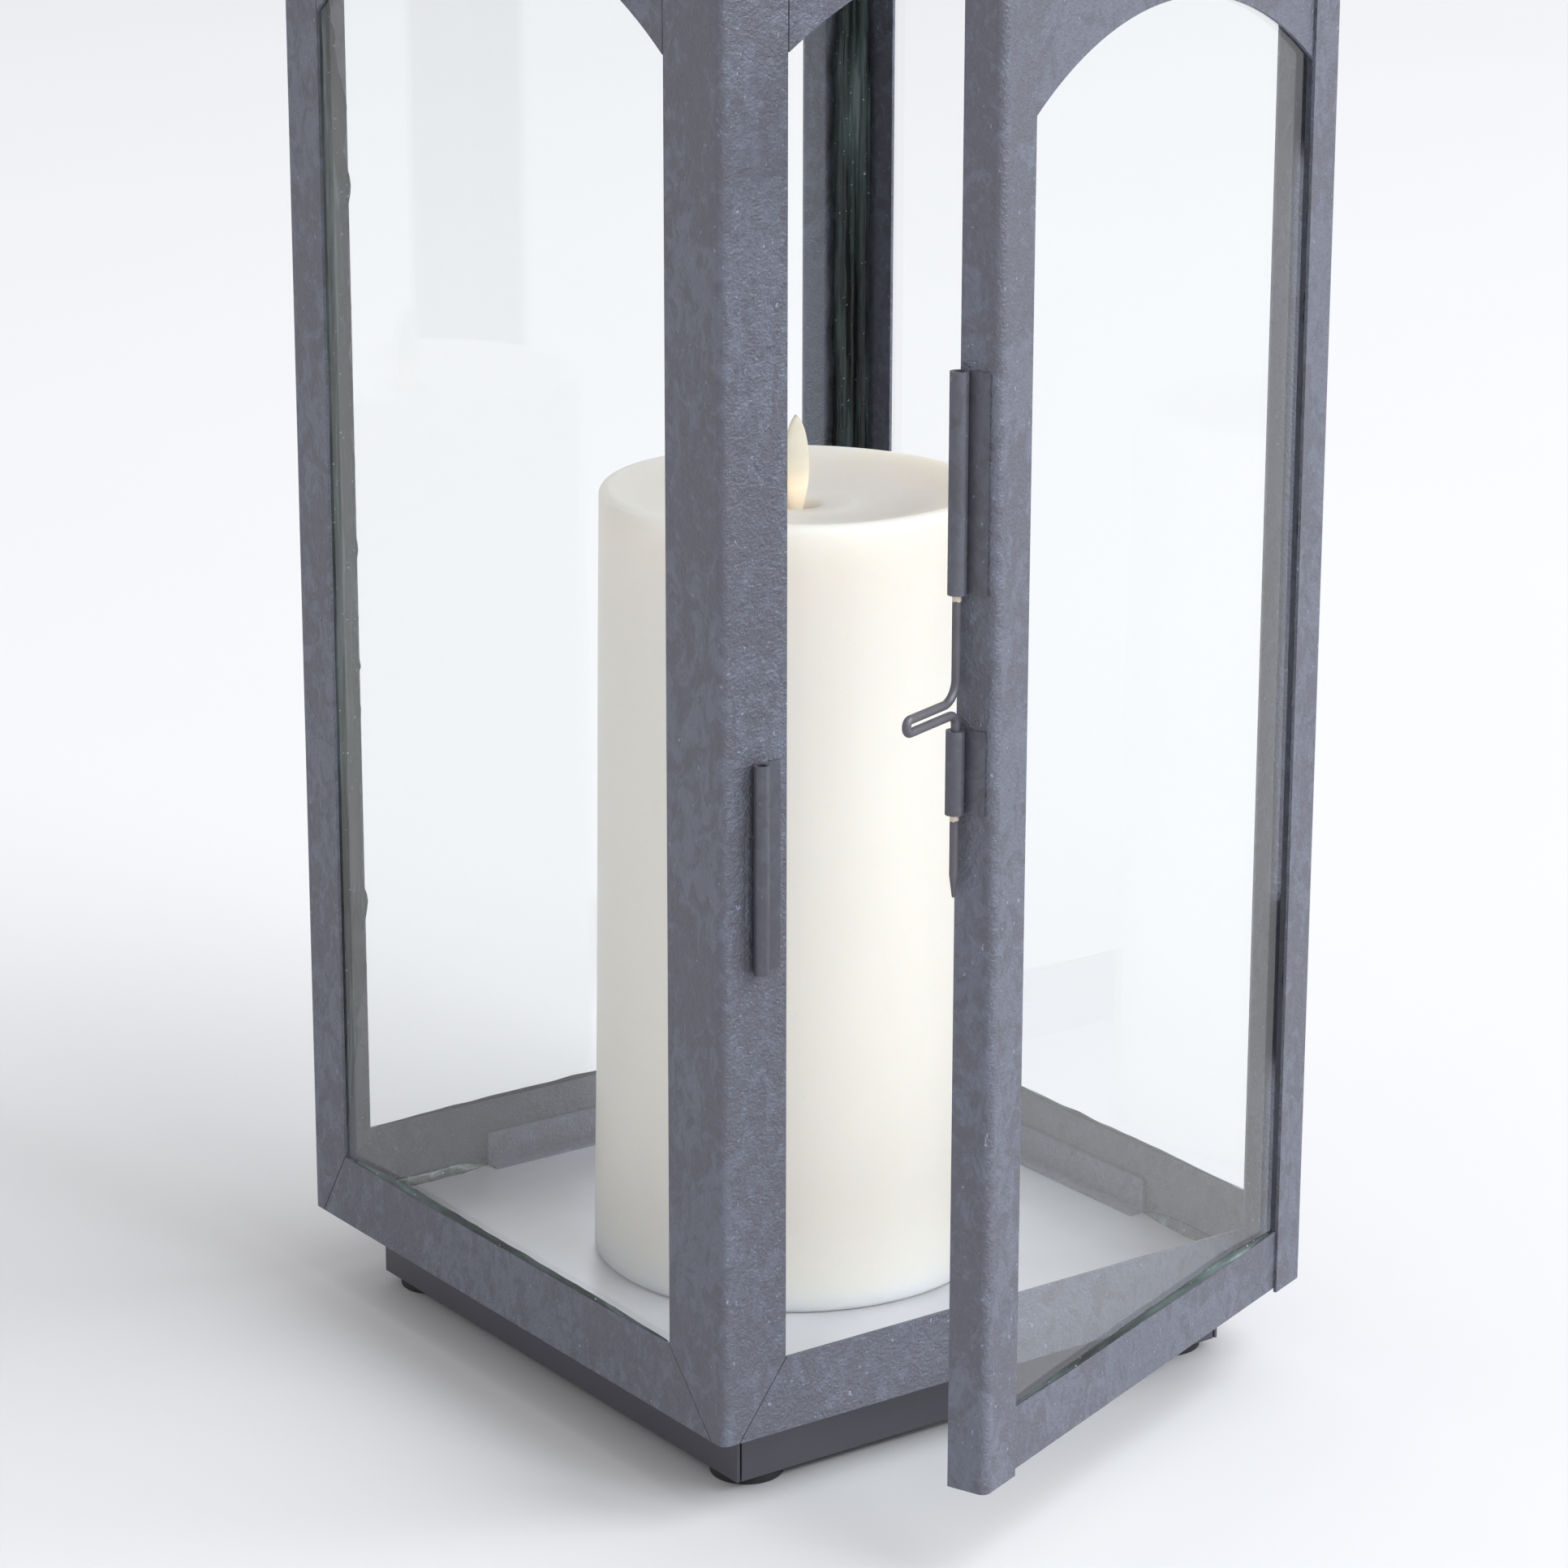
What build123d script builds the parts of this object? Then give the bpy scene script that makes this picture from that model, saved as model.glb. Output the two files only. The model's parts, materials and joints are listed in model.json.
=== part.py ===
from build123d import *
import os
from math import cos, radians, sin, sqrt

# Arched candle lantern in folded sheet metal, with a glazed door and a battery pillar candle.
# Millimetres. +Z is up and the door side faces -Y. The origin is the middle of the footprint,
# on the plane that the feet stand on. The door is drawn open by door_open degrees.

# Body
width = 178.0
depth = 190.0
sheet = 0.8
bend = 2.0
foot_height = 2.5
plinth_height = 17.5
plinth_recess = 13.5
plinth_flange = 9.0
foot_radius = 9.0
foot_margin = 0.5
foot_edge = 0.5
rail_height = 18.5
frame_height = 366.0
seam = 0.3
seam_foot = 4.6
arch_radius = 121.0
arch_crown = 347.0
glass = 2.5
glass_play = 0.4
pane_end_play = 1.3
bead = 2.4
clip_height = 9.0
clip_foot = 5.0
clip_share = 0.4
ring_height = 12.0
ring_flange = 10.0

# Roof
overhang = 8.0
fascia = 8.0
roof_rise = 46.0
vent_width = 62.0
vent_height = 20.0
vent_slots = 3
slot_width = 6.0
slot_height = 10.0
cap_overhang = 7.0
cap_fascia = 4.0
cap_rise = 16.0
cap_flat = 14.0

# Handle
handle_wire = 5.0
handle_span = 96.0
handle_rise = 70.0
handle_fillet = 24.0
ear_width = 14.0
ear_height = 19.0
ear_sheet = 1.6
eye_radius = 5.5
eye_thickness = 4.6
eye_gap = 0.4
rivet_radius = 2.0
rivet_head_radius = 4.0
rivet_head = 1.4
running_gap = 0.05

# Door
door_width = 155.0
door_depth = 10.0
door_bottom = 7.5
door_height = 345.0
door_gap = 1.2
door_open = 21.0
stile_face = 13.2
stile_overrun = 1.0
door_rail_height = 15.0
door_arch_radius = 114.0
door_arch_crown = 334.5

# Hinges
knuckle_radius = 1.65
knuckle_play = 0.3
pin_radius = 1.0
pin_overrun = 1.5
leaf_gap = 0.25
leaf_width = 7.0
leaf_sheet = 0.6
hinge_length = 42.0
hinge_heights = (62.0, 292.0)

# Latch
bolt_radius = 1.0
point_length = 5.0
point_radius = 0.35
guide_radius = 2.1
guide_bore = 1.1
guide_gap = 0.1
keeper_radius = 1.8
keeper_bore = 1.3
keeper_leaf = 0.5
leaf_thickness = 0.4
guide_leaf = 6.5
keeper_bottom = 115.5
keeper_top = 165.0
lower_guide_bottom = 165.6
lower_guide_top = 184.4
upper_guide_bottom = 214.5
upper_guide_top = 263.0
bolt_top = 241.0
bolt_tip = 146.8
loop_reach = 21.0
loop_turn = 1.4
loop_arm_gap = 2.9
loop_upper_bend = 5.0
loop_lower_bend = 2.4

# Candle
candle_height = 202.0
candle_base_radius = 50.8
candle_top_radius = 48.2
candle_rim = 5.0
candle_dish_radius = 40.0
candle_dish_depth = 5.0
candle_dish_fall = 0.5
candle_foot_edge = 1.0
core_radius = 36.0
core_height = 172.0
core_wall = 2.0
flame_well_radius = 7.0
flame_height = 22.5
flame_width = 8.0
flame_thickness = 3.0
flame_tail = 16.0
flame_belly = 0.35
flame_shoulder = 0.8
flame_shoulder_width = 1.6
flame_taper = 0.1
tail_width = 3.0
tail_rise = 2.0
wire_drop = 4.0
pivot_radius = 0.5
magnet_radius = 2.5
magnet_length = 2.5

# Candle works
board_drop = 12.0
board_thickness = 1.6
board_notch = 8.0
coil_radius = 5.0
coil_height = 8.0
lamp_radius = 2.5
lamp_height = 8.0
lamp_round = 2.2
lamp_offset = 12.0
battery_radius = 13.1
battery_length = 48.5
battery_button_radius = 4.0
battery_button = 1.5
battery_lift = 3.0
holder_wall = 1.5
holder_height = 38.0
cap_disc = 2.0
switch_width = 5.0
switch_length = 6.0
switch_place = 26.0
switch_recess = 0.5
switch_flange = 1.0
switch_flange_height = 1.5
switch_travel = 3.0

# Levels and planes worked out from the driving dimensions
frame_bottom = foot_height + plinth_height
frame_top = frame_bottom + frame_height
floor_top = frame_bottom + sheet
half_width = width / 2
half_depth = depth / 2
inner_half_width = half_width - sheet
inner_half_depth = half_depth - sheet
guide_y = -half_depth - guide_radius - guide_gap
guide_x = -door_width / 2 - guide_radius
hinge_x = door_width / 2 + knuckle_radius + leaf_gap
hinge_y = -half_depth - knuckle_radius - leaf_gap
door_x_dir = (cos(radians(door_open)), sin(radians(door_open)), 0)
door_out_dir = (sin(radians(door_open)), -cos(radians(door_open)), 0)
door_plan = Plane(origin=(hinge_x, hinge_y, 0), x_dir=door_x_dir, z_dir=(0, 0, 1))
door_front = Plane(origin=(hinge_x, hinge_y, 0), x_dir=door_x_dir, z_dir=door_out_dir)

# Each corner post: which side of X and Y it is on, and how wide its two legs are
posts = {
    "front": (-1, -1, 18.0, 22.0),
    "right": (1, -1, 19.0, 18.5),
    "back": (1, 1, 19.0, 18.5),
    "left": (-1, 1, 18.0, 16.5),
}

# Each side: the plane of its outer face, with local Y up, its half span, and its left and right legs
sides = {
    "front": (
        Plane(origin=(0, -half_depth, 0), x_dir=(1, 0, 0), z_dir=(0, -1, 0)),
        half_width,
        posts["front"][2],
        posts["right"][2],
    ),
    "right": (
        Plane(origin=(half_width, 0, 0), x_dir=(0, 1, 0), z_dir=(1, 0, 0)),
        half_depth,
        posts["right"][3],
        posts["back"][3],
    ),
    "back": (
        Plane(origin=(0, half_depth, 0), x_dir=(-1, 0, 0), z_dir=(0, 1, 0)),
        half_width,
        posts["back"][2],
        posts["left"][2],
    ),
    "left": (
        Plane(origin=(-half_width, 0, 0), x_dir=(0, -1, 0), z_dir=(-1, 0, 0)),
        half_depth,
        posts["left"][3],
        posts["front"][3],
    ),
}

os.makedirs("parts", exist_ok=True)


def save(part, name):
    """Labels one finished piece and writes its STEP file."""
    part.label = name
    export_step(part, f"parts/{name}.step")


def block(low, high, mode=Mode.ADD):
    """A box between two opposite corners, in the current part."""
    size = [b - a for a, b in zip(low, high)]
    middle = [(a + b) / 2 for a, b in zip(low, high)]
    with Locations(tuple(middle)):
        Box(*size, mode=mode)


def panel(low, high, mode=Mode.ADD):
    """A rectangle between two opposite corners, in the current sketch."""
    with Locations(((low[0] + high[0]) / 2, (low[1] + high[1]) / 2)):
        Rectangle(high[0] - low[0], high[1] - low[1], mode=mode)


def angle_section(corner, leg_x, leg_y):
    """A folded angle in the current sketch: its outer corner and the signed length of each leg."""
    x, y = corner
    x_in = x + (sheet if leg_x > 0 else -sheet)
    y_in = y + (sheet if leg_y > 0 else -sheet)
    with BuildLine() as outline:
        outer = FilletPolyline((x + leg_x, y), (x, y), (x, y + leg_y), radius=bend)
        inner = FilletPolyline((x + leg_x, y_in), (x_in, y_in), (x_in, y + leg_y), radius=bend - sheet)
        Line(outer @ 0, inner @ 0)
        Line(outer @ 1, inner @ 1)
    make_face(outline.edges())


# Corner posts: folded angles whose feet are mitred where the bottom rails meet them
for name, (x_side, y_side, leg_x, leg_y) in posts.items():
    with BuildPart() as post:
        with BuildSketch(Plane.XY.offset(frame_bottom)):
            angle_section((x_side * half_width, y_side * half_depth), -x_side * leg_x, -y_side * leg_y)
        extrude(amount=frame_height)
        for plane, half_span, left_leg, right_leg in sides.values():
            with BuildSketch(plane):
                for way, leg in ((-1, left_leg), (1, right_leg)):
                    low = frame_bottom - sheet
                    foot = half_span - seam_foot
                    edge = half_span - leg
                    with BuildLine():
                        Polyline(
                            (way * foot, low),
                            (way * foot, frame_bottom),
                            (way * edge, frame_bottom + rail_height),
                            (way * (edge - sheet), frame_bottom + rail_height),
                            (way * (edge - sheet), low),
                            close=True,
                        )
                    make_face()
            extrude(amount=-bend, mode=Mode.SUBTRACT)
    save(post.part, f"{name}_post")

# Bottom rails: flat strips cut to the mitres, with a hairline seam
for name, (plane, half_span, left_leg, right_leg) in sides.items():
    with BuildPart() as rail:
        with BuildSketch(plane):
            with BuildLine():
                Polyline(
                    (-half_span + seam_foot + seam, frame_bottom),
                    (half_span - seam_foot - seam, frame_bottom),
                    (half_span - right_leg - seam, frame_bottom + rail_height),
                    (-half_span + left_leg + seam, frame_bottom + rail_height),
                    close=True,
                )
            make_face()
        extrude(amount=-sheet)
    save(rail.part, f"{name}_rail")

# Arch plates between the posts, flush with them, each cut to a segment of a circle
for name, (plane, half_span, left_leg, right_leg) in sides.items():
    with BuildPart() as arch:
        with BuildSketch(plane):
            centre_height = frame_bottom + arch_crown - arch_radius
            panel((-half_span + left_leg + seam, centre_height), (half_span - right_leg - seam, frame_top))
            with Locations((0, centre_height)):
                Circle(arch_radius, mode=Mode.SUBTRACT)
        extrude(amount=-sheet)
    save(arch.part, f"{name}_arch")

# Floor plate inside the rails
with BuildPart() as floor_plate:
    with BuildSketch(Plane.XY.offset(frame_bottom)):
        RectangleRounded(2 * inner_half_width, 2 * inner_half_depth, bend)
    extrude(amount=sheet)
save(floor_plate.part, "floor_plate")

# Plinth: an upturned tray, set back from the frame, with slit corners and a turned-in foot flange
with BuildPart() as plinth:
    out_x = half_width - plinth_recess
    out_y = half_depth - plinth_recess
    in_x = out_x - sheet
    in_y = out_y - sheet
    block((-out_x, -out_y, foot_height), (out_x, out_y, frame_bottom))
    block((-in_x, -in_y, foot_height + sheet), (in_x, in_y, frame_bottom - sheet), mode=Mode.SUBTRACT)
    open_x = out_x - plinth_flange
    open_y = out_y - plinth_flange
    block((-open_x, -open_y, 0), (open_x, open_y, foot_height + sheet), mode=Mode.SUBTRACT)
    for x_way in (-1, 1):
        for y_way in (-1, 1):
            x_slit = sorted((x_way * in_x, x_way * (in_x - 2 * seam)))
            y_slit = sorted((y_way * (in_y - plinth_flange), y_way * (out_y + seam)))
            block(
                (x_slit[0], y_slit[0], 0),
                (x_slit[1], y_slit[1], frame_bottom - sheet),
                mode=Mode.SUBTRACT,
            )
save(plinth.part, "plinth")

# Rubber feet, stuck under the corners of the plinth's flange
foot_inset = plinth_recess + foot_radius + foot_margin
with BuildPart() as feet:
    with BuildSketch():
        with GridLocations(width - 2 * foot_inset, depth - 2 * foot_inset, 2, 2):
            Circle(foot_radius)
    extrude(amount=foot_height)
    fillet(feet.edges().filter_by(GeomType.CIRCLE).group_by(Axis.Z)[0], radius=foot_edge)
save(feet.part, "feet")

# Fixed panes: the two side panes run the full depth and the back pane fits between them
pane_top = frame_top - ring_height - seam
side_pane_x = inner_half_width - glass
side_pane_y = inner_half_depth - pane_end_play
back_pane_x = side_pane_x - seam
back_pane_y = inner_half_depth - glass
panes = {
    "right_glass": ((side_pane_x, -side_pane_y), (inner_half_width, side_pane_y)),
    "back_glass": ((-back_pane_x, back_pane_y), (back_pane_x, inner_half_depth)),
    "left_glass": ((-inner_half_width, -side_pane_y), (-side_pane_x, side_pane_y)),
}
for name, (low, high) in panes.items():
    with BuildPart() as pane:
        block((*low, floor_top), (*high, pane_top))
    save(pane.part, name)

# Glass clips: small angles on the floor, against the middle of each fixed pane
clip_places = {
    "right_clip": (Plane.XZ, side_pane_x, -1, 2 * half_depth * clip_share),
    "left_clip": (Plane.XZ, -side_pane_x, 1, 2 * half_depth * clip_share),
    "back_clip": (Plane.YZ, back_pane_y, -1, 2 * half_width * clip_share),
}
for name, (plane, face, way, length) in clip_places.items():
    with BuildPart() as clip:
        with BuildSketch(plane):
            panel(
                (min(face, face + way * sheet), floor_top),
                (max(face, face + way * sheet), floor_top + clip_height),
            )
            panel(
                (min(face, face + way * clip_foot), floor_top),
                (max(face, face + way * clip_foot), floor_top + sheet),
            )
        extrude(amount=length / 2, both=True)
    save(clip.part, name)

# Silicone beads: in the floor corner beside each clip, and up the inside corners
bead_places = {
    "right_silicone": (Plane.XZ, side_pane_x, -1, half_depth * clip_share, back_pane_y - seam),
    "left_silicone": (Plane.XZ, -side_pane_x, 1, half_depth * clip_share, back_pane_y - seam),
    "back_silicone": (Plane.YZ, back_pane_y, -1, half_width * clip_share, back_pane_x - bead),
}
for name, (plane, face, way, start, end) in bead_places.items():
    with BuildPart() as silicone:
        for side in (-1, 1):
            with BuildSketch(plane.offset(side * (start + seam))):
                with BuildLine():
                    Polyline(
                        (face, floor_top),
                        (face + way * bead, floor_top),
                        (face, floor_top + bead),
                        close=True,
                    )
                make_face()
            extrude(amount=side * (end - start - seam))
        if plane == Plane.XZ:
            with BuildSketch(Plane.XY.offset(floor_top + bead)):
                for y_face, y_way in ((-inner_half_depth, 1), (back_pane_y, -1)):
                    with BuildLine():
                        Polyline(
                            (face, y_face),
                            (face + way * bead, y_face),
                            (face, y_face + y_way * bead),
                            close=True,
                        )
                    make_face()
            extrude(amount=pane_top - floor_top - bead)
    save(silicone.part, name)

# Top ring: a folded angle inside the top of the posts and arch plates, its flange turned inwards
with BuildPart() as top_ring:
    with BuildSketch(Plane.XY.offset(frame_top - ring_height)):
        RectangleRounded(2 * inner_half_width, 2 * inner_half_depth, bend)
        RectangleRounded(
            2 * (inner_half_width - sheet),
            2 * (inner_half_depth - sheet),
            bend - sheet,
            mode=Mode.SUBTRACT,
        )
    extrude(amount=ring_height)
    with BuildSketch(Plane.XY.offset(frame_top - sheet)):
        RectangleRounded(2 * inner_half_width, 2 * inner_half_depth, bend)
        Rectangle(
            2 * (inner_half_width - ring_flange),
            2 * (inner_half_depth - ring_flange),
            mode=Mode.SUBTRACT,
        )
    extrude(amount=sheet)
save(top_ring.part, "top_ring")

# Roof base plate: a flat ring on top of the frame, carrying the overhang
plate_top = frame_top + sheet
eave_x = half_width + overhang
eave_y = half_depth + overhang
with BuildPart() as roof_plate:
    with BuildSketch(Plane.XY.offset(frame_top)):
        Rectangle(2 * eave_x, 2 * eave_y)
        Rectangle(
            2 * (inner_half_width - ring_flange),
            2 * (inner_half_depth - ring_flange),
            mode=Mode.SUBTRACT,
        )
    extrude(amount=sheet)
save(roof_plate.part, "roof_plate")


def hip(base_height, base_x, base_y, wall, rise, top, mode=Mode.ADD):
    """An upright band with a hipped roof on it, in the current part; top is its flat's width."""
    block((-base_x, -base_y, base_height), (base_x, base_y, base_height + wall), mode=mode)
    with BuildSketch(Plane.XY.offset(base_height + wall)) as low:
        Rectangle(2 * base_x, 2 * base_y)
    with BuildSketch(Plane.XY.offset(base_height + wall + rise)) as high:
        Rectangle(top, top)
    loft([low.sketch.faces()[0], high.sketch.faces()[0]], mode=mode)


# Hipped roof shell with its fascia, open below and at the vent
eave_top = plate_top + fascia
roof_top = eave_top + roof_rise
with BuildPart() as roof:
    hip(plate_top, eave_x, eave_y, fascia, roof_rise, vent_width)
    hip(
        plate_top,
        eave_x - sheet,
        eave_y - sheet,
        fascia - sheet / 2,
        roof_rise + sheet / 2,
        vent_width - 2 * sheet,
        mode=Mode.SUBTRACT,
    )
save(roof.part, "roof")

# Vent collar: a square tube with a row of slots in each face
vent_top = roof_top + vent_height
with BuildPart() as vent_collar:
    with BuildSketch(Plane.XY.offset(roof_top)):
        Rectangle(vent_width, vent_width)
        Rectangle(vent_width - 2 * sheet, vent_width - 2 * sheet, mode=Mode.SUBTRACT)
    extrude(amount=vent_height)
    slot_pitch = vent_width / (vent_slots + 1)
    for plane in (Plane.XZ, Plane.YZ):
        with BuildSketch(plane):
            with Locations((0, roof_top + vent_height / 2)):
                with GridLocations(slot_pitch, slot_height, vent_slots, 1):
                    SlotOverall(slot_height, slot_width, rotation=90)
        extrude(amount=vent_width, both=True, mode=Mode.SUBTRACT)
save(vent_collar.part, "vent_collar")

# Vent deck and cap: a flat plate on the collar, and a small hipped cap folded over its edge
cap_half = vent_width / 2 + cap_overhang
with BuildPart() as vent_deck:
    deck = cap_half - sheet
    block((-deck, -deck, vent_top), (deck, deck, vent_top + sheet))
save(vent_deck.part, "vent_deck")

with BuildPart() as vent_cap:
    hip(vent_top, cap_half, cap_half, cap_fascia, cap_rise, cap_flat)
    hip(
        vent_top,
        cap_half - sheet,
        cap_half - sheet,
        cap_fascia - sheet / 2,
        cap_rise - sheet / 2,
        cap_flat - 2 * sheet,
        mode=Mode.SUBTRACT,
    )
save(vent_cap.part, "vent_cap")

# Handle ears: upright tabs soldered to the roof's slopes, one each side of the vent
ear_x = handle_span / 2 - handle_wire / 2 - eye_gap - ear_sheet / 2
slope_share = (eave_x - ear_x) / (eave_x - vent_width / 2)
pivot_height = eave_top + slope_share * roof_rise + ear_height - ear_width / 2
with BuildPart() as handle_ears:
    for way in (-1, 1):
        with BuildSketch(Plane.YZ.offset(way * ear_x - ear_sheet / 2)):
            panel((-ear_width / 2, eave_top), (ear_width / 2, pivot_height))
            with Locations((0, pivot_height)):
                Circle(ear_width / 2)
                Circle(rivet_radius, mode=Mode.SUBTRACT)
        extrude(amount=ear_sheet)
    hip(plate_top, eave_x, eave_y, fascia, roof_rise, vent_width, mode=Mode.SUBTRACT)
save(handle_ears.part, "handle_ears")

# Handle rivets: a shank through each ear and the handle's eye, with a head on both ends
with BuildPart() as handle_rivets:
    for way in (-1, 1):
        inside = ear_x - ear_sheet / 2 - rivet_head
        outside = handle_span / 2 + handle_wire / 2 + eye_gap
        spans = (
            (inside, inside + rivet_head, rivet_head_radius),
            (inside + rivet_head, outside, rivet_radius),
            (outside, outside + rivet_head, rivet_head_radius),
        )
        for start, end, radius in spans:
            with BuildSketch(Plane.YZ.offset(way * start)):
                with Locations((0, pivot_height)):
                    Circle(radius)
            extrude(amount=way * (end - start))
save(handle_rivets.part, "handle_rivets")

# Handle: a bent rod whose ends are flattened into eyes
with BuildPart() as handle:
    with BuildLine(Plane.XZ) as handle_path:
        FilletPolyline(
            (-handle_span / 2, pivot_height + eye_radius / 2),
            (-handle_span / 2, pivot_height + handle_rise),
            (handle_span / 2, pivot_height + handle_rise),
            (handle_span / 2, pivot_height + eye_radius / 2),
            radius=handle_fillet,
        )
    with BuildSketch(Plane(origin=handle_path.line @ 0, z_dir=handle_path.line % 0)):
        Circle(handle_wire / 2)
    sweep()
    for way in (-1, 1):
        with BuildSketch(Plane.YZ.offset(way * handle_span / 2)):
            with Locations((0, pivot_height)):
                Circle(eye_radius)
        extrude(amount=eye_thickness / 2, both=True)
        with BuildSketch(Plane.YZ.offset(way * handle_span / 2)):
            with Locations((0, pivot_height)):
                Circle(rivet_radius + running_gap)
        extrude(amount=handle_wire, both=True, mode=Mode.SUBTRACT)
save(handle.part, "handle")

# Door. Its places are measured from the hinge axis, with the door's own X and Y.
door_left = -door_width / 2 - hinge_x
door_right = door_width / 2 - hinge_x
door_middle = -hinge_x
door_rear = -half_depth - door_gap - hinge_y
door_face = door_rear - door_depth
rail_face = door_face + sheet
door_base = frame_bottom + door_bottom
door_top = door_base + door_height

# Door stiles: folded angles, one returned at each edge, standing proud of the rails
for name, edge, way in (("latch_stile", door_left, 1), ("hinge_stile", door_right, -1)):
    with BuildPart() as stile:
        with BuildSketch(door_plan.offset(door_base - stile_overrun)):
            angle_section((edge, door_face), way * stile_face, door_depth)
        extrude(amount=door_height + 2 * stile_overrun)
    save(stile.part, name)

# Door rail and arch plate: flat strips behind the stile faces. Their depth is measured inwards.
strip_left = door_left + bend
strip_right = door_right - bend
strip_plane = door_front.offset(-rail_face)
with BuildPart() as door_rail:
    with BuildSketch(strip_plane):
        panel((strip_left, door_base), (strip_right, door_base + door_rail_height))
    extrude(amount=-sheet)
save(door_rail.part, "door_rail")

with BuildPart() as door_arch:
    with BuildSketch(strip_plane):
        door_arch_centre = frame_bottom + door_arch_crown - door_arch_radius
        panel((strip_left, door_arch_centre), (strip_right, door_top))
        with Locations((door_middle, door_arch_centre)):
            Circle(door_arch_radius, mode=Mode.SUBTRACT)
    extrude(amount=-sheet)
save(door_arch.part, "door_arch")

# Door glass, and the silicone bead round the back of it
glass_face = rail_face + sheet
glass_back = glass_face + glass
glass_left = door_left + sheet + glass_play
glass_right = door_right - sheet - glass_play
glass_base = door_base + seam
glass_top = door_top - seam
with BuildPart() as door_glass:
    with BuildSketch(door_plan.offset(glass_base)):
        panel((glass_left, glass_face), (glass_right, glass_back))
    extrude(amount=glass_top - glass_base)
save(door_glass.part, "door_glass")

with BuildPart() as door_silicone:
    with BuildSketch(door_plan.offset(glass_base)):
        for side, way in ((door_left + sheet, 1), (door_right - sheet, -1)):
            with BuildLine():
                Polyline(
                    (side, glass_back),
                    (side + way * (glass_play + bead), glass_back),
                    (side, glass_back + bead),
                    close=True,
                )
            make_face()
    extrude(amount=glass_top - glass_base)
save(door_silicone.part, "door_silicone")

# Hinges: two pairs of leaves. The body's knuckles are the outer two of each hinge.
door_knuckle_length = hinge_length / 3
knuckle_edge = knuckle_radius + leaf_gap
tab_face = pin_radius + running_gap
hinge_plan = Plane.XY.offset(frame_bottom)
pin_axis = (hinge_x, hinge_y)
with BuildPart() as body_hinge_leaves:
    for height in hinge_heights:
        with BuildSketch(hinge_plan.offset(height)):
            panel(
                (hinge_x + knuckle_edge, hinge_y + knuckle_edge - leaf_sheet),
                (hinge_x + leaf_width, hinge_y + knuckle_edge),
            )
        extrude(amount=hinge_length)
        for start in (0, hinge_length - door_knuckle_length):
            with BuildSketch(hinge_plan.offset(height + start)):
                with Locations(pin_axis):
                    Circle(knuckle_radius)
                panel((hinge_x, hinge_y + tab_face), (hinge_x + knuckle_edge, hinge_y + knuckle_edge))
                with Locations(pin_axis):
                    Circle(pin_radius, mode=Mode.SUBTRACT)
            extrude(amount=door_knuckle_length)
save(body_hinge_leaves.part, "body_hinge_leaves")

with BuildPart() as door_hinge_leaves:
    for height in hinge_heights:
        with BuildSketch(door_plan.offset(frame_bottom + height)):
            panel((-knuckle_edge, -leaf_width), (-knuckle_edge + leaf_sheet, -knuckle_edge))
        extrude(amount=hinge_length)
        knuckle_base = frame_bottom + height + door_knuckle_length + knuckle_play
        with BuildSketch(door_plan.offset(knuckle_base)):
            Circle(knuckle_radius)
            panel((-knuckle_edge, -knuckle_edge), (-tab_face, 0))
            Circle(pin_radius + running_gap, mode=Mode.SUBTRACT)
        extrude(amount=door_knuckle_length - 2 * knuckle_play)
save(door_hinge_leaves.part, "door_hinge_leaves")

with BuildPart() as hinge_pins:
    with BuildSketch(*[hinge_plan.offset(height - pin_overrun) for height in hinge_heights]):
        with Locations(pin_axis):
            Circle(pin_radius)
    extrude(amount=hinge_length + 2 * pin_overrun)
save(hinge_pins.part, "hinge_pins")


def rolled_tube(axis, radius, bore, leaf_low, leaf_high):
    """A rolled tube and its flat leaf in the current sketch."""
    with Locations(axis):
        Circle(radius)
    panel(leaf_low, leaf_high)
    with Locations(axis):
        Circle(bore, mode=Mode.SUBTRACT)


# Latch keeper: a rolled tube with its leaf flat on the front post
with BuildPart() as latch_keeper:
    with BuildSketch(hinge_plan.offset(keeper_bottom)):
        rolled_tube(
            (guide_x, guide_y),
            keeper_radius,
            keeper_bore,
            (guide_x, -half_depth - keeper_leaf),
            (guide_x + guide_leaf, -half_depth),
        )
    extrude(amount=keeper_top - keeper_bottom)
save(latch_keeper.part, "latch_keeper")

# Latch guides: two rolled tubes with their leaves flat on the latch stile's return
bolt_x = guide_x - hinge_x
bolt_y = guide_y - hinge_y
guides = {
    "lower_latch_guide": (lower_guide_bottom, lower_guide_top),
    "upper_latch_guide": (upper_guide_bottom, upper_guide_top),
}
for name, (low, high) in guides.items():
    with BuildPart() as guide:
        with BuildSketch(door_plan.offset(frame_bottom + low)):
            rolled_tube(
                (bolt_x, bolt_y),
                guide_radius,
                guide_bore,
                (bolt_x + guide_radius - leaf_thickness, bolt_y - guide_leaf),
                (bolt_x + guide_radius, bolt_y),
            )
        extrude(amount=high - low)
    save(guide.part, name)

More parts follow.
